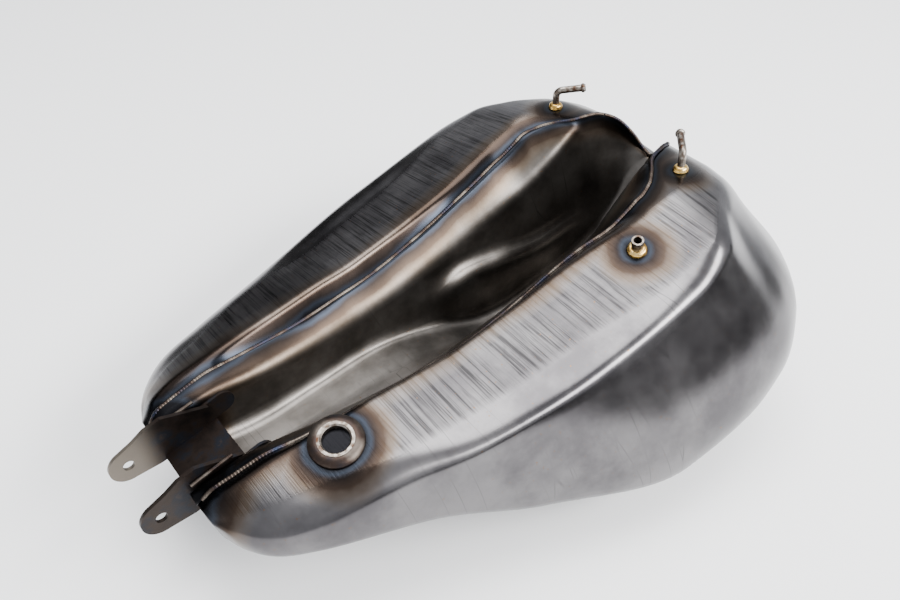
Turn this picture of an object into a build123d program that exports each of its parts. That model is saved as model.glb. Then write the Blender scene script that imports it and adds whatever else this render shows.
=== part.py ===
from build123d import *
import math
import os

# A bare welded motorcycle fuel tank, stored upside down on its crowned top.
# The lines below are drawn in the tank's own frame: X runs from the tail to the nose, Y to the side,
# and Z is the direction the underside faces. Last of all the tank is tipped to its resting angle.

# ---- driving sizes, in millimetres and degrees ----
BODY_LENGTH = 556.0        # tail cap to nose, without the ears
BODY_WIDTH = 432.0         # across both lobes
BODY_DEPTH = 204.0         # underside ridge plane to the crown
SHEET = 1.5                # steel sheet of both skins and the tunnel
REST_ANGLE = 14.4          # how far the underside tips when the tank lies on its crown

EAR_GAP = 54.0             # clear width between the two ears of the folded tail bracket
EAR_PLATE = 3.2
EAR_HOLE = 8.7
EAR_RADIUS = 14.5
EAR_REACH = 22.5           # hole centre behind the tail plate
BRACKET_LENGTH = 46.0      # how far the bracket runs into the tunnel
DOUBLER_PLATE = 2.4
DOUBLER_LENGTH = 60.0
PLATE_FIT = 0.1            # gap between plates that lie on each other

BUNG_BORE = 20.4           # female thread for the fuel tap
BUNG_OUTSIDE = 27.0
BUNG_HEIGHT = 14.0
VENT_OUTSIDE = 9.0         # tube through the braze and down inside the tank
VENT_END = 9.6             # swaged end that the hose grips
VENT_BORE = 6.8
VENT_STANDS = 13.0
NIPPLE_OUTSIDE = 6.4
NIPPLE_BORE = 4.4
NIPPLE_RISE = 17.0
NIPPLE_LEG = 27.0
NIPPLE_BEND = 6.0
FILLER_BORE = 57.0
FILLER_OUTSIDE = 66.0
FILLER_DEPTH = 24.0
HOLE_FIT = 0.1             # radial gap round every fitting where it passes through the sheet
BEAD = 2.2                 # radius of a run of weld
BEAD_GAP = 0.3             # between a run of weld and the sheets that it lies on

# ---- feature lines, drawn at these overall sizes and stretched to the ones above ----
DRAWN_LENGTH = 556.0
DRAWN_WIDTH = 432.0
DRAWN_DEPTH = 204.0
TAIL = -278.0
NOSE = 278.0

CROWN = [(-278, 30), (-272, 36), (-259, 44), (-241, 52), (-222, 63), (-155, 96), (-82, 148), (30, 194),
         (100, 204), (160, 198), (200, 185), (236, 165), (262, 143), (278, 120)]
WIDEST = [(-278, 63, -12), (-272, 80, -14), (-259, 98, -18), (-241, 110, -22), (-222, 118, -28), (-155, 138, -56),
          (-82, 168, -98), (30, 212, -130), (100, 216, -132), (152, 210, -128), (200, 188, -122),
          (236, 150, -116), (262, 100, -114), (278, 36, -112)]
SHOULDER = [(-278, 60, -1), (-272, 76, -2), (-259, 93, -3), (-241, 105, -3), (-200, 118, -8), (-155, 130, -15),
            (-108, 143, -20), (-4, 160, -22), (98, 164, -20), (145, 155, -19), (180, 128, -19),
            (206, 112, -28), (236, 92, -56), (262, 58, -92), (278, 20, -108)]
FLAT_EDGE = [(-278, 57, 2), (-262, 72, 8), (-241, 82, 9), (-211, 91, 6), (-155, 110, 0), (-76, 120, -11),
             (16, 130, -12), (91, 143, -9), (136, 142, -6), (165, 124, -5), (190, 106, -9), (211, 94, -20),
             (236, 78, -47), (262, 44, -86), (278, 14, -107)]
RIDGE = [(-278, 52, 6), (-262, 56, 15), (-240, 58, 17), (-212, 59, 15), (-147, 62.6, 7.6), (-106, 66.4, 2.2),
         (-64, 68.7, -3.9), (-18, 70.6, -4.7), (31, 73, -3), (86, 80, 0), (116, 85.4, 1), (153, 89, 5),
         (180, 88, 1), (211, 76, -15), (236, 60, -42), (262, 28, -83), (278, 9, -107)]
SEAM = [(-278, 42, 5), (-262, 46, 13), (-228, 48.8, 12.4), (-194, 52, 3.4), (-139, 54, -9), (-99, 57, -15),
        (-55, 60, -20), (-7, 62, -18), (44, 64, -12), (69, 66, -9.5), (101, 70, -7.5), (120, 70, -3.5),
        (134, 70, 0), (150, 66, 0), (166, 56, 0), (178, 46, 0), (198, 40, -3.5), (211, 35, -11.5),
        (219, 28, -20), (225, 16, -36), (227.5, 5, -51), (228, 0, -54), (240, 0, -74), (255, 0, -92), (278, 0, -109)]
LIP = [(-272, 34, 10), (-238, 34, 9), (-209, 34.5, -1), (-173, 36, -14), (-135, 39, -25), (-94, 42, -33.5),
       (0, 45, -38), (73, 46, -37.7), (99, 45.6, -33.6), (123, 43, -25.7), (150, 41.6, -13.5), (170, 41, -6),
       (183, 40, -13), (201, 37, -22), (217, 27, -35), (225, 12, -48), (227.5, 3.6, -53)]
SHELF = [(-272, 34, -8), (-209, 34, -22), (-155, 36, -36), (-93, 39, -50), (-31, 40, -58), (10, 41, -57),
         (50, 41, -68), (111, 38, -86), (160, 34, -84), (190, 32, -50), (210, 26, -48), (225, 9, -50), (227.5, 3, -53.6)]
STEP = [(-272, 33.5, -22), (-209, 32, -38), (-155, 34, -50), (-93, 36, -62), (-31, 34, -76), (10, 31, -66),
        (50, 30, -78), (111, 28, -97), (160, 24, -98), (190, 21, -76), (210, 16, -62), (225, 6, -53), (227.5, 2.4, -54.4)]
ROOF_EDGE = [(-272, 26, -27), (-209, 25, -47), (-155, 28, -58), (-93, 30, -70), (-31, 26, -94), (10, 23, -116),
             (50, 22, -126), (111, 20, -128), (160, 17, -116), (190, 13, -92), (210, 9, -69), (225, 3, -56), (227.5, 1.4, -55.4)]
ROOF = [(-272, -27.5), (-209, -49), (-155, -60), (-93, -72), (-31, -97), (10, -120), (50, -130), (111, -132),
        (160, -120), (190, -95), (210, -71), (225, -57), (227.5, -55.8)]

TUNNEL_STATIONS = [-278, -266, -252, -236, -208, -165, -120, -75, -25, 25, 70, 105, 130, 150, 166, 180, 192, 204, 213,
                   220, 224]
SKIN_STATIONS = TUNNEL_STATIONS + [228]
BEAK_STATIONS = [228, 240, 252, 264, 273, 278]

LONG = BODY_LENGTH / DRAWN_LENGTH
WIDE = BODY_WIDTH / DRAWN_WIDTH
DEEP = BODY_DEPTH / DRAWN_DEPTH
SPINE_GAP = 0.4            # between the two skins along the spine, filled by the weld
LAP_GAP = 0.8              # between each skin and the tunnel along their seam, filled by the weld


def slope(line, i, k):
    """Steepness of a feature line at its point i, kept flat at a turning point so that it never overshoots."""
    if i == 0 or i == len(line) - 1:
        a, b = (0, 1) if i == 0 else (-2, -1)
        return (line[b][k] - line[a][k]) / (line[b][0] - line[a][0])
    before = (line[i][k] - line[i - 1][k]) / (line[i][0] - line[i - 1][0])
    after = (line[i + 1][k] - line[i][k]) / (line[i + 1][0] - line[i][0])
    if before * after <= 0:
        return 0
    return 2 * before * after / (before + after)


def along(line, x, k=1):
    """Value k of a feature line at a drawn station x, by a smooth curve through its points."""
    i = 0
    while i < len(line) - 2 and x > line[i + 1][0]:
        i += 1
    span = line[i + 1][0] - line[i][0]
    t = (x - line[i][0]) / span
    rise = line[i][k] * (1 + 2 * t) * (1 - t) ** 2 + line[i + 1][k] * t * t * (3 - 2 * t)
    return rise + span * (slope(line, i, k) * t * (1 - t) ** 2 + slope(line, i + 1, k) * t * t * (t - 1))


def point(line, x):
    """A feature line's point at station x, as (across, up) in real millimetres."""
    return (along(line, x, 1) * WIDE, along(line, x, 2) * DEEP)


def crown(x):
    return along(CROWN, x) * DEEP


def inset(points, depth, first=None, last=None):
    """The corners of a bent sheet's other face, depth away on the right of the way that the points run."""
    moved = []
    for i, (y, z) in enumerate(points):
        ways = []
        if i > 0:
            ways.append((y - points[i - 1][0], z - points[i - 1][1]))
        elif first:
            ways.append(first)
        if i < len(points) - 1:
            ways.append((points[i + 1][0] - y, points[i + 1][1] - z))
        elif last:
            ways.append(last)
        normals = [(b / math.hypot(a, b), -a / math.hypot(a, b)) for a, b in ways]
        n = (sum(m[0] for m in normals) / len(normals), sum(m[1] for m in normals) / len(normals))
        grow = depth / (n[0] ** 2 + n[1] ** 2)
        moved.append((y + n[0] * grow, z + n[1] * grow))
    return moved


def across(x):
    """A plane square to the tank at drawn station x, its own x running to the left side and its own y up."""
    return Plane(origin=(x * LONG, 0, 0), x_dir=(0, 1, 0), z_dir=(1, 0, 0))


def skin_lines(x):
    """Corners of a left skin's section: crown, flank, then shoulder, flat, ridge and seam, outside and inside."""
    half = SPINE_GAP / 2
    wide, level = point(WIDEST, x)
    upper = [(wide, level), point(SHOULDER, x), point(FLAT_EDGE, x), point(RIDGE, x)]
    seam_y, seam_z = point(SEAM, x)
    upper.append((max(seam_y, half), seam_z))
    inner = inset(upper, -SHEET, first=(0, 1))
    if upper[-1][0] - half < SHEET:
        inner[-1] = (half, inner[-1][1])
    return half, -crown(x), upper, inner


def flat_way(upper):
    """The way that the flat runs inwards where the shoulder meets it, bent a little to the shoulder's side."""
    flat = (upper[3][0] - upper[2][0], upper[3][1] - upper[2][1])
    turn = (upper[2][0] - upper[1][0], upper[2][1] - upper[1][1])
    share = 0.35 * math.hypot(*flat) / math.hypot(*turn)
    return (flat[0] + share * turn[0], flat[1] + share * turn[1])


def skin_half(stations):
    """A left skin between two stations, as a bent sheet."""
    with BuildPart() as body:
        for x in stations:
            half, bottom, upper, inner = skin_lines(x)
            low = (upper[0][1] + bottom) / 2
            belly = upper[0][0] * math.sqrt(0.75)
            with BuildSketch(across(x)):
                with BuildLine():
                    Spline((half, bottom), (belly, low), upper[0], tangents=[(1, 0), (0, 1)])
                    Spline(upper[0], upper[1], upper[2], tangents=[(0, 1), flat_way(upper)])
                    Polyline(upper[2], upper[3], upper[4], inner[4], inner[3], inner[2])
                    Spline(inner[0], inner[1], inner[2], tangents=[(0, 1), flat_way(upper)])
                    inner_low = (belly - SHEET * 0.6, low + SHEET * 0.8)
                    Spline((half, bottom + SHEET), inner_low, inner[0], tangents=[(1, 0), (0, 1)])
                    Line((half, bottom + SHEET), (half, bottom))
                make_face()
        loft()
    return body.part


def tunnel_lines(x):
    """Corners of the tunnel's left half from its seam to the middle of its roof, top face."""
    seam = point(SEAM, x)
    lip = point(LIP, x)
    run = math.dist(seam, lip)
    start = (seam[0] + (lip[0] - seam[0]) * LAP_GAP / run, seam[1] + (lip[1] - seam[1]) * LAP_GAP / run)
    middle = (0, along(ROOF, x) * DEEP)
    return [start, lip, point(SHELF, x), point(STEP, x), point(ROOF_EDGE, x), middle]


def end_plate(x, amount, notched):
    """The flat end of a left skin; a notched one leaves the tunnel's mouth open."""
    half, bottom, upper, inner = skin_lines(x)
    low = (upper[0][1] + bottom) / 2
    belly = upper[0][0] * math.sqrt(0.75)
    with BuildPart() as plate:
        with BuildSketch(across(x)):
            with BuildLine():
                Spline((half, bottom), (belly, low), upper[0], tangents=[(1, 0), (0, 1)])
                Spline(upper[0], upper[1], upper[2], tangents=[(0, 1), flat_way(upper)])
                if notched:
                    mouth = tunnel_lines(x)[1:5]
                    Polyline(upper[2], upper[3], upper[4], *mouth, (half, mouth[-1][1]), (half, bottom))
                else:
                    Polyline(upper[2], upper[3], (half, upper[4][1]), (half, bottom))
            make_face()
        extrude(amount=amount)
    return plate.part


def bead(points, radius):
    """A round run of weld through the given points."""
    with BuildPart() as run:
        with BuildLine():
            path = Spline(*points)
        with BuildSketch(Plane(origin=path @ 0, z_dir=path % 0)):
            Circle(radius)
        sweep(path=path)
    return run.part


def profile_plane(place, way):
    """A plane for half of a turned piece's profile: its own x runs out from the axis and its y the given way."""
    side = way.cross(Vector(0, 1, 0)).normalized()
    return Plane(origin=place, x_dir=side, z_dir=side.cross(way))


def biggest(shape):
    return max(shape.solids(), key=lambda solid: solid.volume)


def post(place, way, radius, length):
    """A round bar of the given length that starts at place and runs the given way."""
    return Plane(origin=place, z_dir=way) * Cylinder(radius, length, align=(Align.CENTER, Align.CENTER, Align.MIN))


def flank_height(x, y):
    """Height of the skin at a place on the flat outside the ridge, or on the strip between ridge and seam."""
    outside = y > point(RIDGE, x)[0]
    inner_y, inner_z = point(RIDGE if outside else SEAM, x)
    outer_y, outer_z = point(FLAT_EDGE if outside else RIDGE, x)
    return inner_z + (outer_z - inner_z) * (y - inner_y) / (outer_y - inner_y)


# ---- bare skins, before the fittings' holes ----
bare_left = skin_half(SKIN_STATIONS) + skin_half(BEAK_STATIONS)
bare_left = bare_left + end_plate(TAIL, -SHEET, True) + end_plate(NOSE, SHEET, False)
bare_right = mirror(bare_left, about=Plane.XZ)

# ---- tunnel: the stamped trough between the lobes, whose front slopes up to the nose ----
with BuildPart() as tunnel:
    for x in TUNNEL_STATIONS:
        left = tunnel_lines(x)
        right = [(-y, z) for y, z in reversed(left[:-1])]
        top = left + right
        under = inset(top, -SHEET)
        with BuildSketch(across(x)):
            with BuildLine():
                Polyline(*top, *reversed(under), top[0])
            make_face()
    loft()

# ---- places of the fittings ----
BUNG_X = -181.0
BUNG_SIDE = 76.0
VENT_X = 92.0
VENT_SIDE = 105.0
NIPPLE_X = 181.0
NIPPLE_SIDE = 74.0
FILLER_X = 108.0
UP = Vector(0, 0, 1)


def flank(x, y):
    """Place and outward way of the flat beside the left ridge, x along the tank and y to the side."""
    step = 2.0
    way = Vector(flank_height(x - step, y) - flank_height(x + step, y),
                 flank_height(x, y - step) - flank_height(x, y + step), 2 * step)
    return Vector(x * LONG, y, flank_height(x, y)), way.normalized()


def other_side(place):
    return Vector(place.X, -place.Y, place.Z)


bung_at, bung_way = [other_side(v) for v in flank(BUNG_X, BUNG_SIDE)]
vent_at, vent_way = [other_side(v) for v in flank(VENT_X, VENT_SIDE)]
nipple_at, nipple_way = flank(NIPPLE_X, NIPPLE_SIDE)
filler_at = Vector(FILLER_X * LONG, 0, -crown(FILLER_X))

bung_hole = post(bung_at - 15 * bung_way, bung_way, BUNG_OUTSIDE / 2 + HOLE_FIT, 30)
vent_hole = post(vent_at - 15 * vent_way, vent_way, VENT_OUTSIDE / 2 + HOLE_FIT, 30)
nipple_hole = post(nipple_at - 15 * nipple_way, nipple_way, NIPPLE_OUTSIDE / 2 + HOLE_FIT, 30)
filler_hole = post(filler_at - 30 * UP, UP, FILLER_OUTSIDE / 2 + HOLE_FIT, 60)

left_skin = biggest(bare_left - nipple_hole - filler_hole)
right_skin = biggest(bare_right - mirror(nipple_hole, about=Plane.XZ) - filler_hole - bung_hole - vent_hole)

# ---- seam welds: a run along each edge of the tunnel, and one round its arched front ----
SEAM_RUN = [-274, -252, -236, -208, -165, -120, -75, -25, 25, 70, 105, 130, 150, 166, 180, 192, 204]
ARCH_RUN = [208, 215, 221]


def over_seam(x):
    """Middle of the weld bead at station x, resting just over the two sheets that it joins."""
    seam = point(SEAM, x)
    side, up = inset([point(RIDGE, x), seam, point(LIP, x)], BEAD + BEAD_GAP)[1]
    return (x * LONG, side, up)


with BuildPart() as left_seam_run:
    for x in SEAM_RUN:
        _, side, up = over_seam(x)
        with BuildSketch(across(x)):
            with Locations((side, up)):
                RegularPolygon(BEAD, 8)
    loft(ruled=True)
left_seam_weld = left_seam_run.part
right_seam_weld = mirror(left_seam_weld, about=Plane.XZ)
arch_left = [over_seam(x) for x in ARCH_RUN]
arch_tip = (228 * LONG + BEAD, 0, point(SEAM, 228)[1] + BEAD + BEAD_GAP)
arch_right = [(x, -y, z) for x, y, z in reversed(arch_left)]
arch_weld = bead([*arch_left, arch_tip, *arch_right], BEAD)

# ---- spine and nose welds: root runs along the gap between the two skins ----
SPINE_RUN = [-268, -252, -236, -208, -165, -120, -82, -50, 15, 60]
SPINE_RUN_FRONT = [152, 178, 200, 228, 245, 262, 272]
NOSE_RUN = [237, 245, 253, 262, 271]


def spine_bead(run):
    lift = SHEET + BEAD + BEAD_GAP
    return bead([(x * LONG, 0, -crown(x) + lift / math.cos(math.atan2(crown(x + 3) - crown(x - 3), 6))) for x in run],
                BEAD)


rear_spine_weld = spine_bead(SPINE_RUN)
front_spine_weld = spine_bead(SPINE_RUN_FRONT)
nose_weld = bead([(x * LONG + BEAD, 0, point(SEAM, x)[1] + BEAD) for x in NOSE_RUN], BEAD * 0.7)

# ---- tail bracket: one strip folded into a channel, with two round ears standing out behind the tank ----
EAR_LIFT = 3.0             # ear's centre above the ridge plane
EAR_CREST = 20.0           # top of the bracket where it enters the tunnel, over the ear's centre
WEB_DROP = 19.0            # web's lower face under the ear's centre
FOLD_RADIUS = 5.0
ear_x = TAIL * LONG - SHEET - EAR_REACH
mouth_x = TAIL * LONG - SHEET
ear_outside = EAR_GAP / 2 + EAR_PLATE

with BuildPart() as ear_blank:
    with BuildSketch(Plane(origin=(ear_x, EAR_GAP / 2, EAR_LIFT), x_dir=(1, 0, 0), z_dir=(0, 1, 0))):
        Circle(EAR_RADIUS)
        with BuildLine():
            reach = EAR_REACH + BRACKET_LENGTH
            Polyline((-1, -EAR_RADIUS), (EAR_REACH * 0.5, -EAR_RADIUS - 2), (EAR_REACH, -EAR_CREST),
                     (EAR_REACH + 14, -EAR_CREST), (reach, 0), (reach, WEB_DROP), (EAR_REACH - 4, WEB_DROP),
                     (-1, EAR_RADIUS), (-1, -EAR_RADIUS))
        make_face()
        Circle(EAR_HOLE / 2, mode=Mode.SUBTRACT)
    extrude(amount=EAR_PLATE)

with BuildPart() as web:
    with BuildSketch(Plane(origin=(mouth_x, 0, EAR_LIFT - WEB_DROP), x_dir=(0, 1, 0), z_dir=(1, 0, 0))):
        Rectangle(2 * ear_outside, EAR_PLATE * 2.5, align=(Align.CENTER, Align.MIN))
        with Locations((0, EAR_PLATE)):
            Rectangle(EAR_GAP, EAR_PLATE * 2.5, align=(Align.CENTER, Align.MIN), mode=Mode.SUBTRACT)
    extrude(amount=BRACKET_LENGTH)
    fillet(web.edges().filter_by(Axis.X).group_by(Axis.Z)[0], FOLD_RADIUS)

fold_cut = Pos((mouth_x + BRACKET_LENGTH / 2, 0, EAR_LIFT - WEB_DROP)) * Box(
    BRACKET_LENGTH, 4 * ear_outside, 2 * EAR_PLATE + 3
)
left_ear = ear_blank.part - fold_cut
tail_bracket = biggest(left_ear + mirror(left_ear, about=Plane.XZ) + web.part)

# ---- doublers: thin plates between the bracket's ears and the tunnel's walls, round at the front ----
with BuildPart() as left_doubler:
    with BuildSketch(Plane(origin=(mouth_x + 6, ear_outside + PLATE_FIT, -6), x_dir=(1, 0, 0), z_dir=(0, -1, 0))):
        with Locations((DOUBLER_LENGTH / 2, 0)):
            SlotOverall(DOUBLER_LENGTH, 19)
    extrude(amount=-DOUBLER_PLATE)
right_doubler = mirror(left_doubler.part, about=Plane.XZ)

BRACKET_BEAD = 1.5
BRACKET_BEAD_LENGTH = 34.0
bracket_bead_at = Vector(mouth_x + 5, ear_outside + BRACKET_BEAD + PLATE_FIT, 11.6 + BRACKET_BEAD)
left_bracket_weld = post(bracket_bead_at, Vector(1, 0, 0), BRACKET_BEAD, BRACKET_BEAD_LENGTH)
right_bracket_weld = mirror(left_bracket_weld, about=Plane.XZ)


def ring(place, way, inner, outer, top, height):
    """A weld fillet round a fitting: a ring that narrows from outer to top as it rises off the sheet."""
    with BuildPart() as fillet_ring:
        with BuildSketch(profile_plane(place + BEAD_GAP * way, way)):
            with BuildLine():
                Polyline((inner, 0), (outer, 0), (outer - 0.3, height * 0.3))
                Line((top, height), (inner, height))
                Line((inner, height), (inner, 0))
                ThreePointArc((outer - 0.3, height * 0.3), (top + (outer - top) * 0.6, height * 0.75), (top, height))
            make_face()
        revolve(axis=Axis(place, way))
    return fillet_ring.part


# ---- fuel tap bung: a turned boss with a female thread, welded into the right lobe near the tail ----
BUNG_SINK = 9.0
bung_foot = bung_at - BUNG_SINK * bung_way
petcock_bung = post(bung_foot, bung_way, BUNG_OUTSIDE / 2, BUNG_HEIGHT)
petcock_bung -= post(bung_foot - bung_way, bung_way, BUNG_BORE / 2, BUNG_HEIGHT + 2)
petcock_bung = chamfer(petcock_bung.edges().filter_by(GeomType.CIRCLE).group_by(SortBy.RADIUS)[0], 1.2)
bung_weld = ring(bung_at, bung_way, BUNG_OUTSIDE / 2 + 0.1, 20.5, BUNG_OUTSIDE / 2 + 0.8, 4.2)

# ---- vent: a brass-brazed stub whose tube runs on inside to just short of the crown ----
VENT_INSIDE = 176.0
vent_foot = vent_at - VENT_INSIDE * vent_way
vent_tube = post(vent_foot, vent_way, VENT_OUTSIDE / 2, VENT_INSIDE + VENT_STANDS)
VENT_NECK = 4.5            # plain tube standing over the sheet before the swaged end
vent_tube += post(vent_at + VENT_NECK * vent_way, vent_way, VENT_END / 2, VENT_STANDS - VENT_NECK)
vent_tube -= post(vent_foot - vent_way, vent_way, VENT_BORE / 2, VENT_INSIDE + VENT_STANDS + 2)
vent_braze = ring(vent_at, vent_way, VENT_OUTSIDE / 2 + 0.1, 8.4, VENT_OUTSIDE / 2 + 0.6, 3.6)

# ---- crossover nipples: bent tubes that carry fuel from lobe to lobe, each with a hose bead at its end ----
NIPPLE_SINK = 9.0
lean = Vector(1, -1, 0).normalized()
elbow = [nipple_at - NIPPLE_SINK * nipple_way, nipple_at + NIPPLE_RISE * nipple_way]
elbow.append(elbow[1] + NIPPLE_LEG * lean)
with BuildPart() as nipple:
    with BuildLine() as centre_line:
        FilletPolyline(*elbow, radius=NIPPLE_BEND)
    with BuildSketch(Plane(origin=elbow[0], z_dir=nipple_way)):
        Circle(NIPPLE_OUTSIDE / 2)
        Circle(NIPPLE_BORE / 2, mode=Mode.SUBTRACT)
    sweep(path=centre_line.line)
    with BuildSketch(profile_plane(elbow[2] - 2.5 * lean, lean)):
        with Locations((NIPPLE_OUTSIDE / 2 - 0.1, 0)):
            Ellipse(1.1, 1.7)
            Rectangle(3, 4, align=(Align.MAX, Align.CENTER), mode=Mode.SUBTRACT)
    revolve(axis=Axis(elbow[2], lean))
left_nipple = nipple.part
right_nipple = mirror(left_nipple, about=Plane.XZ)
left_nipple_braze = ring(nipple_at, nipple_way, NIPPLE_OUTSIDE / 2 + 0.1, 6.6, NIPPLE_OUTSIDE / 2 + 0.5, 4.2)
right_nipple_braze = mirror(left_nipple_braze, about=Plane.XZ)

# ---- filler neck: a round collar let into the crown, which is the underside as the tank is stored ----
FILLER_STANDS = 3.5
filler_neck = post(filler_at - FILLER_STANDS * UP, UP, FILLER_OUTSIDE / 2, FILLER_DEPTH)
filler_neck -= post(filler_at - (FILLER_STANDS + 1) * UP, UP, FILLER_BORE / 2, FILLER_DEPTH + 2)
filler_weld = ring(filler_at, -UP, FILLER_OUTSIDE / 2 + 0.1, FILLER_OUTSIDE / 2 + 3, FILLER_OUTSIDE / 2 + 0.8, 2)

# ---- rest the whole tank on its crown, level across and tipped by its resting angle, and write the pieces ----
PIECES = {
    "left_skin": left_skin,
    "right_skin": right_skin,
    "tunnel": tunnel.part,
    "left_seam_weld": left_seam_weld,
    "right_seam_weld": right_seam_weld,
    "arch_weld": arch_weld,
    "rear_spine_weld": rear_spine_weld,
    "front_spine_weld": front_spine_weld,
    "nose_weld": nose_weld,
    "tail_bracket": tail_bracket,
    "left_doubler": left_doubler.part,
    "right_doubler": right_doubler,
    "left_bracket_weld": left_bracket_weld,
    "right_bracket_weld": right_bracket_weld,
    "petcock_bung": petcock_bung,
    "bung_weld": bung_weld,
    "vent_tube": vent_tube,
    "vent_braze": vent_braze,
    "left_crossover_nipple": left_nipple,
    "right_crossover_nipple": right_nipple,
    "left_nipple_braze": left_nipple_braze,
    "right_nipple_braze": right_nipple_braze,
    "filler_neck": filler_neck,
    "filler_weld": filler_weld,
}

tip = Rotation(0, -REST_ANGLE, 0)
tipped = Compound([tip * piece for piece in PIECES.values()]).bounding_box()
rest = Pos(-(tipped.min.X + tipped.max.X) / 2, -(tipped.min.Y + tipped.max.Y) / 2, -tipped.min.Z) * tip

os.makedirs("parts", exist_ok=True)
for name, piece in PIECES.items():
    placed = rest * piece
    placed.label = name
    export_step(placed, "parts/" + name + ".step")
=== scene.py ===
import bmesh
import bpy
import math
import numpy as np
from mathutils import Matrix, Vector


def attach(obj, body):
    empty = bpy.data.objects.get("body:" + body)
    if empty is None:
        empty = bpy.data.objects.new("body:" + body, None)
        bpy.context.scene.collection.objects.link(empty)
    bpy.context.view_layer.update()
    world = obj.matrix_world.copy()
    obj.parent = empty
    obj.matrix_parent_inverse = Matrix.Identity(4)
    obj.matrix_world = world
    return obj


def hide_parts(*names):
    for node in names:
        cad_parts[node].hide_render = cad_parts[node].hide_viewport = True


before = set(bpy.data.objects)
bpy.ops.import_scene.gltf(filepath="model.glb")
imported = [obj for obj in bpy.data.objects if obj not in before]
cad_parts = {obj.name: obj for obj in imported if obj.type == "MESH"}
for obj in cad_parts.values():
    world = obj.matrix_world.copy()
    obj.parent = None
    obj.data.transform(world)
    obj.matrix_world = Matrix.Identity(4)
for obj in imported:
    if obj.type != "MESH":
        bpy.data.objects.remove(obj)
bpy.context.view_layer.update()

# ---- two skins ----
# The tank's outside is two deep-drawn lobes of 1.5 mm cold-rolled steel, welded together along the spine.
# They are bare: linished across the flats beside the tunnel, satin along the flanks, and tinted by the
# welding heat round every joint.

# Each line follows one edge of a lobe, in millimetres of the tank's own frame: how far along, then how far
# from the middle and how high. CROWN has only a depth. The tank lies nose-up by REST_ANGLE.
SHEET = 1.5
TAIL = -278.0
NOSE = 278.0
REST_ANGLE = math.radians(14.4)
REST_X = 3.598
REST_Z = 182.184
CROWN = [(-278, 30), (-272, 36), (-259, 44), (-241, 52), (-222, 63), (-155, 96), (-82, 148), (30, 194),
         (100, 204), (160, 198), (200, 185), (236, 165), (262, 143), (278, 120)]
WIDEST = [(-278, 63, -12), (-272, 80, -14), (-259, 98, -18), (-241, 110, -22), (-222, 118, -28),
          (-155, 138, -56), (-82, 168, -98), (30, 212, -130), (100, 216, -132), (152, 210, -128),
          (200, 188, -122), (236, 150, -116), (262, 100, -114), (278, 36, -112)]
SHOULDER = [(-278, 60, -1), (-272, 76, -2), (-259, 93, -3), (-241, 105, -3), (-200, 118, -8),
            (-155, 130, -15), (-108, 143, -20), (-4, 160, -22), (98, 164, -20), (145, 155, -19),
            (180, 128, -19), (206, 112, -28), (236, 92, -56), (262, 58, -92), (278, 20, -108)]
FLAT_EDGE = [(-278, 57, 2), (-262, 72, 8), (-241, 82, 9), (-211, 91, 6), (-155, 110, 0), (-76, 120, -11),
             (16, 130, -12), (91, 143, -9), (136, 142, -6), (165, 124, -5), (190, 106, -9), (211, 94, -20),
             (236, 78, -47), (262, 44, -86), (278, 14, -107)]
RIDGE = [(-278, 52, 6), (-262, 56, 15), (-240, 58, 17), (-212, 59, 15), (-147, 62.6, 7.6), (-106, 66.4, 2.2),
         (-64, 68.7, -3.9), (-18, 70.6, -4.7), (31, 73, -3), (86, 80, 0), (116, 85.4, 1), (153, 89, 5),
         (180, 88, 1), (211, 76, -15), (236, 60, -42), (262, 28, -83), (278, 9, -107)]
SEAM = [(-278, 42, 5), (-262, 46, 13), (-228, 48.8, 12.4), (-194, 52, 3.4), (-139, 54, -9), (-99, 57, -15),
        (-55, 60, -20), (-7, 62, -18), (44, 64, -12), (69, 66, -9.5), (101, 70, -7.5), (120, 70, -3.5),
        (134, 70, 0), (150, 66, 0), (166, 56, 0), (178, 46, 0), (198, 40, -3.5), (211, 35, -11.5),
        (219, 28, -20), (225, 16, -36), (227.5, 5, -51), (228, 0, -54), (240, 0, -74), (255, 0, -92),
        (278, 0, -109)]


def slope(line, i, k):
    """Steepness of a line at its point i, flat at a turning point so that the curve never overshoots."""
    if i in (0, len(line) - 1):
        a, b = (0, 1) if i == 0 else (-2, -1)
        return (line[b][k] - line[a][k]) / (line[b][0] - line[a][0])
    before = (line[i][k] - line[i - 1][k]) / (line[i][0] - line[i - 1][0])
    after = (line[i + 1][k] - line[i][k]) / (line[i + 1][0] - line[i][0])
    return 0 if before * after <= 0 else 2 * before * after / (before + after)


def along(line, x, k=1):
    """Value k of a line at station x."""
    i = 0
    while i < len(line) - 2 and x > line[i + 1][0]:
        i += 1
    span = line[i + 1][0] - line[i][0]
    t = (x - line[i][0]) / span
    rise = line[i][k] * (1 + 2 * t) * (1 - t) ** 2 + line[i + 1][k] * t * t * (3 - 2 * t)
    return rise + span * (slope(line, i, k) * t * (1 - t) ** 2 + slope(line, i + 1, k) * t * t * (t - 1))


def point(line, x):
    """How far out and how high a line is at station x."""
    return np.array([along(line, x, 1), along(line, x, 2)])


def at_rest(x, y, z):
    """A place in the tank's own millimetres, moved to where the tank lies, in metres."""
    c, s = math.cos(REST_ANGLE), math.sin(REST_ANGLE)
    return ((x * c - z * s + REST_X) / 1000, y / 1000, (x * s + z * c + REST_Z) / 1000)


def hermite(a, b, way_a, way_b, count):
    """A curve from a to b that leaves along way_a and arrives along way_b, without its last point."""
    length = np.linalg.norm(b - a)
    m, n = way_a / np.linalg.norm(way_a) * length, way_b / np.linalg.norm(way_b) * length
    out = []
    for i in range(count):
        t = i / count
        out.append(a * (1 + 2 * t) * (1 - t) ** 2 + b * t * t * (3 - 2 * t)
                   + m * t * (1 - t) ** 2 + n * t * t * (t - 1))
    return out


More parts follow.
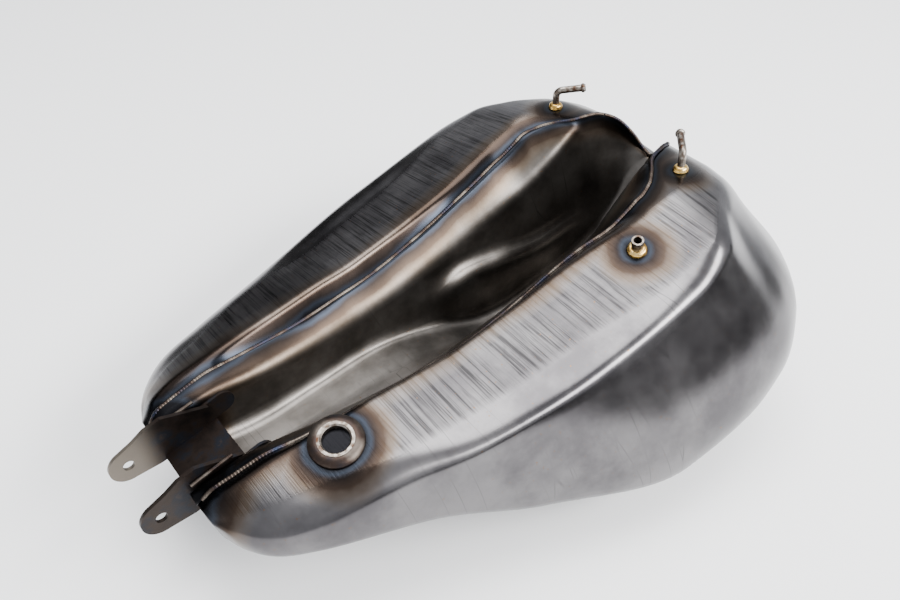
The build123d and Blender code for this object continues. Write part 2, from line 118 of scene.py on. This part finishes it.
def bent(points, radii, counts):
    """A line through the points with each inner corner rounded, divided by the given counts per run."""
    points = [np.array(p, float) for p in points]
    out, start = [], points[0]
    for i in range(1, len(points)):
        before = points[i - 1]
        if i == len(points) - 1:
            end, corner = points[i], []
        else:
            back, ahead = before - points[i], points[i + 1] - points[i]
            room = min(radii[i - 1], 0.45 * np.linalg.norm(back), 0.45 * np.linalg.norm(ahead))
            end = points[i] + back / (np.linalg.norm(back) + 1e-9) * room
            off = points[i] + ahead / (np.linalg.norm(ahead) + 1e-9) * room
            corner = [(1 - t) ** 2 * end + 2 * t * (1 - t) * points[i] + t * t * off
                      for t in (0.25, 0.5, 0.75)]
        out += [start + (end - start) * k / counts[i - 1] for k in range(counts[i - 1])]
        out.append(end)
        out += corner
        start = off if corner else end
    return out


def skin_section(x):
    """A lobe's outline at station x: from the crown up the flank, over the flat and down to the seam."""
    wide, shoulder, flat, ridge, seam = (point(q, x) for q in (WIDEST, SHOULDER, FLAT_EDGE, RIDGE, SEAM))
    deep = along(CROWN, x)
    out = []
    for i in range(22):
        t = math.pi / 2 * i / 22
        out.append(np.array([wide[0] * math.sin(t), wide[1] - (deep + wide[1]) * math.cos(t)]))
    mid = flat - wide
    into, turn = ridge - flat, flat - shoulder
    last = into + 0.35 * np.linalg.norm(into) / np.linalg.norm(turn) * turn
    out += hermite(wide, shoulder, np.array([0, 1.0]), mid + 0.4 * (shoulder - wide), 14)
    out += hermite(shoulder, flat, mid + 0.4 * (shoulder - wide), last, 10)
    out += bent([flat, ridge, seam], [4.5], [12, 9])
    return out


# Where the tail end plate is open for the tunnel: its edge from the lip down to the roof.
TAIL_MOUTH = [(34, 10), (33.5, -22), (26, -27), (0, -27.5)]


def sheet_mesh(name, stations, section, spots, closed=()):
    """A sheet through sections, with a UV map in metres and its distance from the weld and the fittings.

    closed holds the ends that an end plate shuts. on_flat is 1 where the sheet was linished.
    """
    rows, places = [], []
    for x in stations:
        rows.append([len(places) + i for i in range(len(section(x)))])
        places += [(x, y, z) for y, z in section(x)]
    faces, seam_gap, spot_gap, on_flat = [], [], [], []
    for a, b in zip(rows, rows[1:]):
        faces += [(a[i], a[i + 1], b[i + 1], b[i]) for i in range(len(a) - 1)]
    for x, y, z in places:
        sy, sz = point(SEAM, x)
        seam_gap.append(math.hypot(abs(y) - sy, z - sz))
        spot_gap.append(min([math.dist((x, y, z), s[:3]) - s[3] for s in spots] + [200]))
        inner, outer = point(RIDGE, x), point(FLAT_EDGE, x)
        level = z > min(inner[1], outer[1]) - 10 and x < 205
        inside = min(abs(y) - inner[0] + 2, outer[0] + 3 - abs(y)) / 5
        on_flat.append(max(0.0, min(1.0, inside)) if level else 0.0)
    for row, x in zip((rows[0], rows[-1]), (TAIL, NOSE)):
        if x in closed:
            mouth = [(y * np.sign(places[row[0] + 1][1]), z) for y, z in TAIL_MOUTH] if x == TAIL else []
            row = row + [len(places) + i for i in range(len(mouth))]
            places += [(x, y, z) for y, z in mouth]
            seam_gap += [8] * len(mouth)
            spot_gap += [8] * len(mouth)
            on_flat += [0.0] * len(mouth)
            row.append(row[0])
            centre = len(places)
            mean = np.mean([places[i] for i in row], axis=0)
            places.append((x + (-SHEET if x < 0 else SHEET), mean[1], mean[2]))
            seam_gap.append(40)
            spot_gap.append(200)
            on_flat.append(0.0)
            faces += [(row[i], centre, row[i + 1]) for i in range(len(row) - 1)]
    mesh = bpy.data.meshes.new(name)
    mesh.from_pydata([at_rest(*p) for p in places], [], faces)
    uv = mesh.uv_layers.new(name="sheet")
    for poly in mesh.polygons:
        for loop in poly.loop_indices:
            x, y, z = places[mesh.loops[loop].vertex_index]
            uv.data[loop].uv = (x / 1000, math.copysign(math.hypot(y, z), y) / 1000)
    for label, values in (("seam_mm", seam_gap), ("spot_mm", spot_gap), ("on_flat", on_flat)):
        mesh.attributes.new(label, "FLOAT", "POINT").data.foreach_set("value", values)
    mesh.validate()
    built = bmesh.new()
    built.from_mesh(mesh)
    bmesh.ops.remove_doubles(built, verts=built.verts, dist=1e-6)
    bmesh.ops.recalc_face_normals(built, faces=built.faces)
    built.to_mesh(mesh)
    mesh.polygons.foreach_set("use_smooth", [True] * len(mesh.polygons))
    obj = bpy.data.objects.new(name, mesh)
    bpy.context.collection.objects.link(obj)
    return obj


def linear(hex_colour):
    """An sRGB hex colour as linear values."""
    parts = [int(hex_colour[i:i + 2], 16) / 255 for i in (1, 3, 5)]
    return (*[c / 12.92 if c < 0.04045 else ((c + 0.055) / 1.055) ** 2.4 for c in parts], 1)


def add(tree, kind, settings=(), stops=(), **links):
    """Adds a node with its settings, colour stops and links; a socket's name has underscores for spaces."""
    node = tree.nodes.new(kind)
    for key, value in dict(settings).items():
        setattr(node, key, value)
    for key, value in links.items():
        name = key.replace("_", " ")
        numbered = name.startswith("in") and name[2:].isdigit()
        socket = node.inputs[int(name[2:]) if numbered else name]
        if isinstance(value, bpy.types.NodeSocket):
            tree.links.new(value, socket)
        else:
            socket.default_value = value
    if stops:
        elements = node.color_ramp.elements
        while len(elements) < len(stops):
            elements.new(0.5)
        for element, (place, colour) in zip(elements, stops):
            element.position = place
            element.color = linear(colour) if isinstance(colour, str) else (colour, colour, colour, 1)
    return node


def new_material(name):
    material = bpy.data.materials.new(name)
    material.use_nodes = True
    tree = material.node_tree
    tree.nodes.clear()
    return material, tree


# Marks on the sheet, in mm. The real grit lines are 0.1 mm apart and its rust pinholes a few tenths; both are
# drawn coarser so that they show.
GRIT_APART, GRIT_LONG = 1.1765, 62.5
BAND_APART, BAND_LONG = 4.762, 142.86
SCRATCH_APART, SCRATCH_LONG = 20.833, 200
SMUDGE = 71.43
PINHOLE = 2.381
HEAT_REACH = 30.0


def bare_steel(name, light, dull, rough, lines):
    """Bare cold-rolled sheet: linished lines, smudges, pinholes of rust and temper colours by the welds."""
    material, tree = new_material(name)
    uv = add(tree, "ShaderNodeUVMap", {"uv_map": "sheet"}).outputs["UV"]
    here = add(tree, "ShaderNodeTexCoord").outputs["Object"]
    stretch = add(tree, "ShaderNodeMapping", Vector=uv,
                  Scale=(1000 / GRIT_APART, 1000 / GRIT_LONG, 1)).outputs[0]
    fine = add(tree, "ShaderNodeTexNoise", Vector=stretch, Scale=1.0, Detail=3.0, Roughness=0.65).outputs[0]
    wide = add(tree, "ShaderNodeMapping", Vector=uv,
               Scale=(1000 / BAND_APART, 1000 / BAND_LONG, 1)).outputs[0]
    broad = add(tree, "ShaderNodeTexNoise", Vector=wide, Scale=1.0, Detail=4.0, Roughness=0.6).outputs[0]
    flat = add(tree, "ShaderNodeAttribute", {"attribute_name": "on_flat"}).outputs["Fac"]
    linished = add(tree, "ShaderNodeMapRange", Value=flat, To_Min=0.03, To_Max=lines).outputs[0]
    smudge = add(tree, "ShaderNodeTexNoise", Vector=here, Scale=1000 / SMUDGE, Detail=5.0,
                 Roughness=0.62).outputs[0]
    speck = add(tree, "ShaderNodeTexNoise", Vector=here, Scale=1000 / PINHOLE, Detail=2.0,
                Roughness=0.5).outputs[0]
    base = add(tree, "ShaderNodeValToRGB", stops=[(0.32, dull), (0.66, light)], in0=smudge)
    base.color_ramp.interpolation = "EASE"
    both = add(tree, "ShaderNodeMath", {"operation": "MULTIPLY"}, in0=broad, in1=fine).outputs[0]
    streaks = add(tree, "ShaderNodeValToRGB", stops=[(0.17, 0.30), (0.25, 0.86), (0.34, 1.0)],
                  in0=both).outputs[0]
    toned = add(tree, "ShaderNodeMix", {"data_type": "RGBA", "blend_type": "MULTIPLY"}, in0=linished,
                in6=base.outputs[0], in7=streaks).outputs[2]
    # Handling scratches slant across the sheet, each broken up by the smudges.
    slant = add(tree, "ShaderNodeMapping", Vector=uv, Rotation=(0, 0, 0.7),
                Scale=(1000 / SCRATCH_APART, 1000 / SCRATCH_LONG, 1)).outputs[0]
    scratch = add(tree, "ShaderNodeTexVoronoi", {"feature": "DISTANCE_TO_EDGE"}, Vector=slant,
                  Scale=1.0).outputs[0]
    scratch = add(tree, "ShaderNodeValToRGB", stops=[(0.0, 0.45), (0.012, 1.0)], in0=scratch).outputs[0]
    broken = add(tree, "ShaderNodeValToRGB", stops=[(0.50, 0.0), (0.60, 0.8)], in0=smudge).outputs[0]
    toned = add(tree, "ShaderNodeMix", {"data_type": "RGBA", "blend_type": "MULTIPLY"}, in0=broken, in6=toned,
                in7=scratch).outputs[2]
    rust = add(tree, "ShaderNodeValToRGB", stops=[(0.70, 0.0), (0.77, 1.0)], in0=speck).outputs[0]
    toned = add(tree, "ShaderNodeMix", {"data_type": "RGBA"}, in0=rust, in6=toned,
                in7=linear("#6B5138")).outputs[2]
    # Temper colours run from near black at the bead through brown to straw, gone by about HEAT_REACH.
    seam = add(tree, "ShaderNodeAttribute", {"attribute_name": "seam_mm"}).outputs["Fac"]
    spot = add(tree, "ShaderNodeAttribute", {"attribute_name": "spot_mm"}).outputs["Fac"]
    sway = add(tree, "ShaderNodeMath", {"operation": "MULTIPLY_ADD"}, in0=smudge, in1=14.0,
               in2=-7.0).outputs[0]
    gap = add(tree, "ShaderNodeMath", {"operation": "MINIMUM"}, in0=seam, in1=spot).outputs[0]
    gap = add(tree, "ShaderNodeMath", {"operation": "ADD"}, in0=gap, in1=sway).outputs[0]
    gap = add(tree, "ShaderNodeMath", {"operation": "MULTIPLY"}, in0=gap, in1=1 / HEAT_REACH).outputs[0]
    tint = add(tree, "ShaderNodeValToRGB",
               stops=[(0.0, "#141416"), (0.12, "#23272E"), (0.24, "#1F1A18"), (0.46, "#352A22"),
                      (0.68, "#5C4D3D"), (1.0, "#7C756C")], in0=gap).outputs[0]
    amount = add(tree, "ShaderNodeValToRGB", stops=[(0.0, 1.0), (0.46, 0.92), (0.7, 0.45), (0.95, 0.0)],
                 in0=gap).outputs[0]
    colour = add(tree, "ShaderNodeMix", {"data_type": "RGBA"}, in0=amount, in6=toned, in7=tint).outputs[2]
    coarse = add(tree, "ShaderNodeMapRange", Value=smudge, To_Min=rough - 0.05,
                 To_Max=rough + 0.12).outputs[0]
    ridges = add(tree, "ShaderNodeMath", {"operation": "MULTIPLY"}, in0=fine, in1=linished).outputs[0]
    grit = add(tree, "ShaderNodeMath", {"operation": "MULTIPLY_ADD"}, in0=ridges, in1=0.2,
               in2=coarse).outputs[0]
    bump = add(tree, "ShaderNodeBump", Strength=0.5, Distance=0.0004, Height=ridges).outputs["Normal"]
    shader = add(tree, "ShaderNodeBsdfPrincipled", Base_Color=colour, Metallic=1.0, Roughness=grit,
                 Normal=bump)
    add(tree, "ShaderNodeOutputMaterial", Surface=shader.outputs[0])
    return material


def finish_sheet(obj, material, node):
    """Gives a sheet its steel and its wall, which grows inwards from the outside face."""
    obj.data.materials.append(material)
    wall = obj.modifiers.new("wall", "SOLIDIFY")
    wall.thickness = SHEET / 1000
    wall.offset = -1
    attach(obj, "root")
    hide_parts(node)


BUNG_AT = (-181.0, -76.0)
VENT_AT = (92.0, -105.0)
NIPPLE_AT = (181.0, 74.0)


def flank_height(x, y):
    """Height of the upturned underside at a place on it, in the tank's own millimetres."""
    outside = abs(y) > point(RIDGE, x)[0]
    inner, outer = point(RIDGE if outside else SEAM, x), point(FLAT_EDGE if outside else RIDGE, x)
    return inner[1] + (outer[1] - inner[1]) * (abs(y) - inner[0]) / (outer[0] - inner[0])


# Places that the torch heated, each with the radius of the fitting or bracket that stands there.
hot_spots = [(*BUNG_AT, flank_height(*BUNG_AT), 19), (*VENT_AT, flank_height(*VENT_AT), 8),
             (-266, 34, -6, 24), (-266, -34, -6, 24), (*NIPPLE_AT, flank_height(*NIPPLE_AT), 6),
             (NIPPLE_AT[0], -NIPPLE_AT[1], flank_height(*NIPPLE_AT), 6)]
# Stations crowd together where the tail rolls over and where the seam arches across.
STATIONS = [TAIL + d for d in (0, 0.6, 1.3, 2.2, 3.3, 4.6, 6, 8, 10.5, 13)] + list(np.arange(-262, 212, 4.0))
STATIONS += list(np.arange(212, 228, 1.0)) + [228] + list(np.arange(230, NOSE + 0.1, 2.0))
skin_steel = bare_steel("bare_cold_rolled_steel", "#6B696A", "#4E4C4E", 0.19, 1.0)
for side, name in ((1, "left_skin"), (-1, "right_skin")):
    skin = sheet_mesh(name + "_sheet", STATIONS, lambda x: [(side * y, z) for y, z in skin_section(x)],
                      hot_spots, closed=(TAIL, NOSE))
    finish_sheet(skin, skin_steel, name)

# ---- tunnel ----
# One pressed trough fills the middle between the lobes. Its bright rounded lip drops to steep walls, stepped
# in by a shelf towards the front, and a floor that climbs to the arched front edge.
LIP = [(-272, 34, 10), (-238, 34, 9), (-209, 34.5, -1), (-173, 36, -14), (-135, 39, -25), (-94, 42, -33.5),
       (0, 45, -38), (73, 46, -37.7), (99, 45.6, -33.6), (123, 43, -25.7), (150, 41.6, -13.5), (170, 41, -6),
       (183, 40, -13), (201, 37, -22), (217, 27, -35), (225, 12, -48), (227.5, 3.6, -53)]
SHELF = [(-272, 34, -8), (-209, 34, -22), (-155, 36, -36), (-93, 39, -50), (-31, 40, -58), (10, 41, -57),
         (50, 41, -68), (111, 38, -86), (160, 34, -84), (190, 32, -50), (210, 26, -48), (225, 9, -50),
         (227.5, 3, -53.6)]
STEP = [(-272, 33.5, -22), (-209, 32, -38), (-155, 34, -50), (-93, 36, -62), (-31, 34, -76), (10, 31, -66),
        (50, 30, -78), (111, 28, -97), (160, 24, -98), (190, 21, -76), (210, 16, -62), (225, 6, -53),
        (227.5, 2.4, -54.4)]
ROOF_EDGE = [(-272, 26, -27), (-209, 25, -47), (-155, 28, -58), (-93, 30, -70), (-31, 26, -94),
             (10, 23, -116), (50, 22, -126), (111, 20, -128), (160, 17, -116), (190, 13, -92), (210, 9, -69),
             (225, 3, -56), (227.5, 1.4, -55.4)]
ROOF = [(-272, -27.5), (-209, -49), (-155, -60), (-93, -72), (-31, -97), (10, -120), (50, -130), (111, -132),
        (160, -120), (190, -95), (210, -71), (225, -57), (227.5, -55.8)]


def tunnel_section(x):
    """The trough's outline at station x, from one seam over to the other."""
    left = [point(q, x) for q in (SEAM, LIP, SHELF, STEP, ROOF_EDGE)]
    half = bent([*left, np.array([0, along(ROOF, x)])], [7, 10, 9, 9], [6, 6, 5, 6, 6])
    return half + [np.array([-y, z]) for y, z in reversed(half[:-1])]


tunnel_stations = [TAIL] + list(np.arange(-276, 212, 4.0)) + list(np.arange(212, 228, 1.0))
tunnel = sheet_mesh("tunnel_sheet", tunnel_stations, tunnel_section, hot_spots)
tunnel_steel = bare_steel("pressed_steel_dull", "#6E6A66", "#4C4844", 0.30, 0.35)
finish_sheet(tunnel, tunnel_steel, "tunnel")

# ---- seam welds ----
# A hand-laid run of weld follows each edge of the tunnel and arches round its front. Each puddle freezes as a
# ripple a little over 2 mm from the last, dark with scale and blue where the metal was hottest.
BEAD = 2.2
BEAD_PROUD = 0.15 * BEAD
BEAD_RADIUS = 0.82 * BEAD
RIPPLE = 2.4
RINGS = 6
THINNEST = 0.86
WAVER_LONG = 11.111


def over_seam(x, side=1):
    """Middle of the bead at station x, which stands BEAD_PROUD above the edge where the sheets meet."""
    seam = point(SEAM, x)
    before, after = point(RIDGE, x) - seam, point(LIP, x) - seam
    across = before / np.linalg.norm(before) - after / np.linalg.norm(after)
    normal = np.array([-across[1], across[0]]) / np.linalg.norm(across)
    normal *= 1 if normal[1] > 0 else -1
    y, z = seam + normal * BEAD_PROUD
    return (x, side * y, z)


def rippled_run(name, path, material, radius, ripple):
    """A run of weld along a path, built by Geometry Nodes: rings along a curve, swelling once a ripple."""
    mesh = bpy.data.meshes.new(name + "_path")
    mesh.from_pydata([at_rest(*p) for p in path], [(i, i + 1) for i in range(len(path) - 1)], [])
    obj = bpy.data.objects.new(name, mesh)
    bpy.context.collection.objects.link(obj)
    tree = bpy.data.node_groups.new(name + "_run", "GeometryNodeTree")
    sizes = {"Radius": radius / 1000, "Spacing": ripple / (1000 * RINGS), "Ripple": float(RINGS),
             "Swell": 0.16, "Waver": 0.10}
    tree.interface.new_socket("Geometry", in_out="INPUT", socket_type="NodeSocketGeometry")
    for label in sizes:
        tree.interface.new_socket(label, in_out="INPUT", socket_type="NodeSocketFloat")
    tree.interface.new_socket("Geometry", in_out="OUTPUT", socket_type="NodeSocketGeometry")
    given = add(tree, "NodeGroupInput").outputs
    line = add(tree, "GeometryNodeMeshToCurve", Mesh=given["Geometry"]).outputs["Curve"]
    line = add(tree, "GeometryNodeResampleCurve", {"mode": "LENGTH"}, Curve=line,
               Length=given["Spacing"]).outputs[0]
    index = add(tree, "GeometryNodeInputIndex").outputs[0]
    turn = add(tree, "ShaderNodeMath", {"operation": "DIVIDE"}, in0=index, in1=given["Ripple"]).outputs[0]
    turn = add(tree, "ShaderNodeMath", {"operation": "FRACT"}, in0=turn).outputs[0]
    swell = add(tree, "ShaderNodeMath", {"operation": "MULTIPLY"}, in0=turn, in1=given["Swell"]).outputs[0]
    noise = add(tree, "ShaderNodeTexNoise", Scale=1000 / WAVER_LONG, Detail=2.0).outputs["Fac"]
    waver = add(tree, "ShaderNodeMath", {"operation": "MULTIPLY"}, in0=noise, in1=given["Waver"]).outputs[0]
    total = add(tree, "ShaderNodeMath", {"operation": "ADD"}, in0=swell, in1=waver).outputs[0]
    total = add(tree, "ShaderNodeMath", {"operation": "ADD"}, in0=total, in1=THINNEST).outputs[0]
    end = add(tree, "GeometryNodeCurvePrimitiveCircle", Resolution=10, Radius=given["Radius"]).outputs[0]
    tube = add(tree, "GeometryNodeCurveToMesh", Curve=line, Profile_Curve=end, Scale=total,
               Fill_Caps=True).outputs[0]
    whole = add(tree, "GeometryNodeRealizeInstances", Geometry=tube).outputs[0]
    whole = add(tree, "GeometryNodeSetMaterial", Geometry=whole, Material=material).outputs[0]
    add(tree, "NodeGroupOutput", in0=whole)
    modifier = obj.modifiers.new("run", "NODES")
    modifier.node_group = tree
    for item in tree.interface.items_tree:
        if item.in_out == "INPUT" and item.name in sizes:
            modifier[item.identifier] = sizes[item.name]
    bpy.context.view_layer.update()
    done = bpy.data.meshes.new_from_object(obj.evaluated_get(bpy.context.evaluated_depsgraph_get()))
    obj.modifiers.remove(modifier)
    obj.data = done
    done.polygons.foreach_set("use_smooth", [True] * len(done.polygons))
    return obj


# Marks on the weld metal, in mm. The real grain is much finer and is drawn coarser so that it shows.
PATCH = 16.667
GRAIN = 1.1111


def scaled_weld(name, hot, cool, rough):
    """Weld metal: glassy scale over bright ripples, blue and brown by turns."""
    material, tree = new_material(name)
    here = add(tree, "ShaderNodeTexCoord").outputs["Object"]
    patch = add(tree, "ShaderNodeTexNoise", Vector=here, Scale=1000 / PATCH, Detail=4.0).outputs["Fac"]
    grain = add(tree, "ShaderNodeTexNoise", Vector=here, Scale=1000 / GRAIN, Detail=3.0).outputs["Fac"]
    colour = add(tree, "ShaderNodeValToRGB", stops=[(0.30, hot), (0.48, "#3A302B"), (0.66, cool)],
                 in0=patch).outputs[0]
    sheen = add(tree, "ShaderNodeMapRange", Value=patch, To_Min=rough, To_Max=rough + 0.2).outputs[0]
    bump = add(tree, "ShaderNodeBump", Strength=0.35, Distance=0.0002, Height=grain).outputs["Normal"]
    shader = add(tree, "ShaderNodeBsdfPrincipled", Base_Color=colour, Metallic=1.0, Roughness=sheen,
                 Normal=bump)
    add(tree, "ShaderNodeOutputMaterial", Surface=shader.outputs[0])
    return material


def lay_welds(runs, material, radius):
    """Lays a rippled run for each named weld along its path."""
    for name, path in runs.items():
        run = rippled_run(name + "_bead", path, material, radius, RIPPLE)
        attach(run, "root")
        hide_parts(name)


weld_metal = scaled_weld("steel_weld_metal", "#2A3040", "#6E665E", 0.30)
RUN = [x for x in STATIONS if -274 <= x <= 206]
ARCH_LIFT = 0.3
ARCH = [207, 209, 211, 213, 215, 217, 219, 221, 222.5, 224, 225, 226, 227]
arch = [over_seam(x) for x in ARCH] + [(228.2, 0, point(SEAM, 228)[1] + ARCH_LIFT)]
arch += [over_seam(x, -1) for x in reversed(ARCH)]
seams = {"left_seam_weld": [over_seam(x) for x in RUN], "right_seam_weld": [over_seam(x, -1) for x in RUN],
         "arch_weld": arch}
lay_welds(seams, weld_metal, BEAD_RADIUS)

# ---- spine and nose welds ----
# The two lobes meet along the crown and over the nose. The run there is dressed down with a grinder until it
# stands barely proud, so it is a bright smooth line with a few low ripples left.
dressed_weld = scaled_weld("dressed_weld_metal", "#8A8782", "#C2BCB2", 0.30)
DRESSED_RADIUS = 1.8
SPINE_SINK = 1.3
NOSE_SINK = 0.8
spine = [(x, 0, -along(CROWN, x) + SPINE_SINK) for x in STATIONS]
joins = {"rear_spine_weld": [p for p in spine if -270 <= p[0] <= 72],
         "front_spine_weld": [p for p in spine if 144 <= p[0] <= 272],
         "nose_weld": [(x, 0, point(SEAM, x)[1] - NOSE_SINK) for x in STATIONS if 232 <= x <= 274]}
lay_welds(joins, dressed_weld, DRESSED_RADIUS)

# ---- tail bracket and doublers ----
# A folded strip of hot-rolled plate with two round ears, and a thin doubler outside each. Torch heat has left
# them nearly black, with blue and brown scale; the left ear's tip stayed bare and warm grey.
# Its clouds of scale and its pits are given in mm, the pits drawn coarser so that they show.
SCALE_CLOUD = 22.222
SCALE_PIT = 1.4286
plate, tree = new_material("hot_rolled_plate_scaled")
here = add(tree, "ShaderNodeTexCoord").outputs["Object"]
cloud = add(tree, "ShaderNodeTexNoise", Vector=here, Scale=1000 / SCALE_CLOUD, Detail=5.0,
            Roughness=0.6).outputs["Fac"]
pits = add(tree, "ShaderNodeTexNoise", Vector=here, Scale=1000 / SCALE_PIT, Detail=3.0).outputs["Fac"]
place = add(tree, "ShaderNodeSeparateXYZ", Vector=here).outputs
scale = add(tree, "ShaderNodeValToRGB",
            stops=[(0.30, "#100E0E"), (0.50, "#261E1A"), (0.62, "#1B1E25"), (0.75, "#3C3128")],
            in0=cloud).outputs[0]
tail_end = add(tree, "ShaderNodeMapRange", {"interpolation_type": "SMOOTHSTEP"}, Value=place["X"],
               From_Min=-0.284, From_Max=-0.262, To_Min=1.0, To_Max=0.0).outputs[0]
left_side = add(tree, "ShaderNodeMapRange", Value=place["Y"], From_Min=-0.005, From_Max=0.02, To_Min=0.05,
                To_Max=0.75).outputs[0]
bare = add(tree, "ShaderNodeMath", {"operation": "MULTIPLY"}, in0=tail_end, in1=left_side).outputs[0]
colour = add(tree, "ShaderNodeMix", {"data_type": "RGBA"}, in0=bare, in6=scale,
             in7=linear("#7A7268")).outputs[2]
sheen = add(tree, "ShaderNodeMapRange", Value=cloud, To_Min=0.38, To_Max=0.62).outputs[0]
bump = add(tree, "ShaderNodeBump", Strength=0.4, Distance=0.0002, Height=pits).outputs["Normal"]
shader = add(tree, "ShaderNodeBsdfPrincipled", Base_Color=colour, Metallic=0.85, Roughness=sheen, Normal=bump)
add(tree, "ShaderNodeOutputMaterial", Surface=shader.outputs[0])


def coat(names, material):
    """Gives pieces of the frame their finish and leaves their shape alone."""
    for name in names:
        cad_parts[name].data.materials.clear()
        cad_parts[name].data.materials.append(material)


coat(("tail_bracket", "left_doubler", "right_doubler"), plate)

# ---- bracket, bung and fitting welds ----
# Lumpy fillets of weld round the bracket and the fuel tap bung, and brass braze round the thin pipes.
lumpy_weld = scaled_weld("lumpy_weld_metal", "#2B2A2E", "#5A534D", 0.34)
BRAZE_FLOW = 6.25
braze, tree = new_material("brass_braze")
here = add(tree, "ShaderNodeTexCoord").outputs["Object"]
flow = add(tree, "ShaderNodeTexNoise", Vector=here, Scale=1000 / BRAZE_FLOW, Detail=3.0).outputs["Fac"]
colour = add(tree, "ShaderNodeValToRGB", stops=[(0.3, "#8A6A34"), (0.5, "#D2A95C"), (0.7, "#E8CF92")],
             in0=flow).outputs[0]
bump = add(tree, "ShaderNodeBump", Strength=0.3, Distance=0.0004, Height=flow).outputs["Normal"]
shader = add(tree, "ShaderNodeBsdfPrincipled", Base_Color=colour, Metallic=1.0, Roughness=0.27, Normal=bump)
add(tree, "ShaderNodeOutputMaterial", Surface=shader.outputs[0])
coat(("left_bracket_weld", "right_bracket_weld", "bung_weld"), lumpy_weld)
coat(("filler_weld",), dressed_weld)
coat(("vent_braze", "left_nipple_braze", "right_nipple_braze"), braze)

# ---- bung, vent, crossover pipes and filler neck ----
# Turned and drawn steel fittings, welded or brazed into the skins. The torch has dulled them, and light rust
# freckles them all over.
FRECKLE = 4.1667
fitting, tree = new_material("turned_steel_torch_dulled")
here = add(tree, "ShaderNodeTexCoord").outputs["Object"]
freckle = add(tree, "ShaderNodeTexNoise", Vector=here, Scale=1000 / FRECKLE, Detail=4.0).outputs["Fac"]
colour = add(tree, "ShaderNodeValToRGB", stops=[(0.32, "#4A3326"), (0.48, "#6E665E"), (0.68, "#A9A29A")],
             in0=freckle).outputs[0]
sheen = add(tree, "ShaderNodeMapRange", Value=freckle, To_Min=0.5, To_Max=0.3).outputs[0]
bump = add(tree, "ShaderNodeBump", Strength=0.2, Distance=0.0002, Height=freckle).outputs["Normal"]
shader = add(tree, "ShaderNodeBsdfPrincipled", Base_Color=colour, Metallic=1.0, Roughness=sheen, Normal=bump)
add(tree, "ShaderNodeOutputMaterial", Surface=shader.outputs[0])
coat(("petcock_bung", "vent_tube", "left_crossover_nipple", "right_crossover_nipple", "filler_neck"), fitting)

# ---- floor, light and camera ----
# A plain white floor and soft studio light: one large box over the near side and one above. Two dark cards,
# one behind the far lobe and one low in front, give the steel something to reflect but aren't seen.
floor_mesh = bpy.data.meshes.new("floor")
floor_mesh.from_pydata([(-6, -6, 0), (6, -6, 0), (6, 6, 0), (-6, 6, 0)], [], [(0, 1, 2, 3)])
floor = bpy.data.objects.new("floor", floor_mesh)
bpy.context.collection.objects.link(floor)
paper, tree = new_material("white_paper_floor")
shader = add(tree, "ShaderNodeBsdfPrincipled", Base_Color=linear("#FFFFFF"), Roughness=0.7)
add(tree, "ShaderNodeOutputMaterial", Surface=shader.outputs[0])
floor_mesh.materials.append(paper)

card_material, tree = new_material("dark_card")
shader = add(tree, "ShaderNodeBsdfPrincipled", Base_Color=linear("#1C1B1B"), Roughness=0.9)
add(tree, "ShaderNodeOutputMaterial", Surface=shader.outputs[0])


def dark_card(name, middle, width, height, facing):
    """An upright card, in metres, that shows only in reflections."""
    mesh = bpy.data.meshes.new(name)
    out = Vector(facing).normalized()
    side = out.cross(Vector((0, 0, 1))).normalized() * width / 2
    up = Vector((0, 0, height / 2))
    m = Vector(middle)
    mesh.from_pydata([m - side - up, m + side - up, m + side + up, m - side + up], [], [(0, 1, 2, 3)])
    card = bpy.data.objects.new(name, mesh)
    bpy.context.collection.objects.link(card)
    mesh.materials.append(card_material)
    card.visible_camera = False
    card.visible_diffuse = False
    card.visible_shadow = False


dark_card("card_far", (-0.9, 2.8, 1.3), 4.6, 2.2, (0.3, -1, 0))
dark_card("card_near", (1.7, -2.9, 0.42), 6.5, 0.84, (-0.5, 0.86, 0))

world = bpy.data.worlds.new("studio")
bpy.context.scene.world = world
world.use_nodes = True
world.node_tree.nodes["Background"].inputs["Color"].default_value = linear("#EEF1F6")
world.node_tree.nodes["Background"].inputs["Strength"].default_value = 1.25


def softbox(name, place, target, width, height, power):
    """A rectangular light, in metres and watts, aimed at a target."""
    lamp = bpy.data.lights.new(name, "AREA")
    lamp.shape = "RECTANGLE"
    lamp.size, lamp.size_y, lamp.energy = width, height, power
    obj = bpy.data.objects.new(name, lamp)
    way = Vector(target) - Vector(place)
    obj.matrix_world = Matrix.Translation(place) @ way.to_track_quat("-Z", "Y").to_matrix().to_4x4()
    bpy.context.collection.objects.link(obj)


softbox("near_box", (0.9, -2.3, 2.0), (0, 0, 0.1), 2.6, 0.8, 190)
softbox("top_box", (0.3, 0.2, 3.0), (0, 0, 0.1), 2.2, 1.6, 110)

lens = bpy.data.cameras.new("camera")
lens.lens = 32.0
lens.sensor_width = 36.0
camera = bpy.data.objects.new("camera", lens)
right = Vector((0.776, -0.631, 0)).normalized()
look = Vector((0.482, 0.593, -0.645)).normalized()
up = right.cross(look).normalized()
right = look.cross(up)
turned = Matrix((right, up, -look)).transposed().to_4x4()
camera.matrix_world = Matrix.Translation((-0.3400, -0.4052, 0.5778)) @ turned
bpy.context.collection.objects.link(camera)
bpy.context.scene.camera = camera
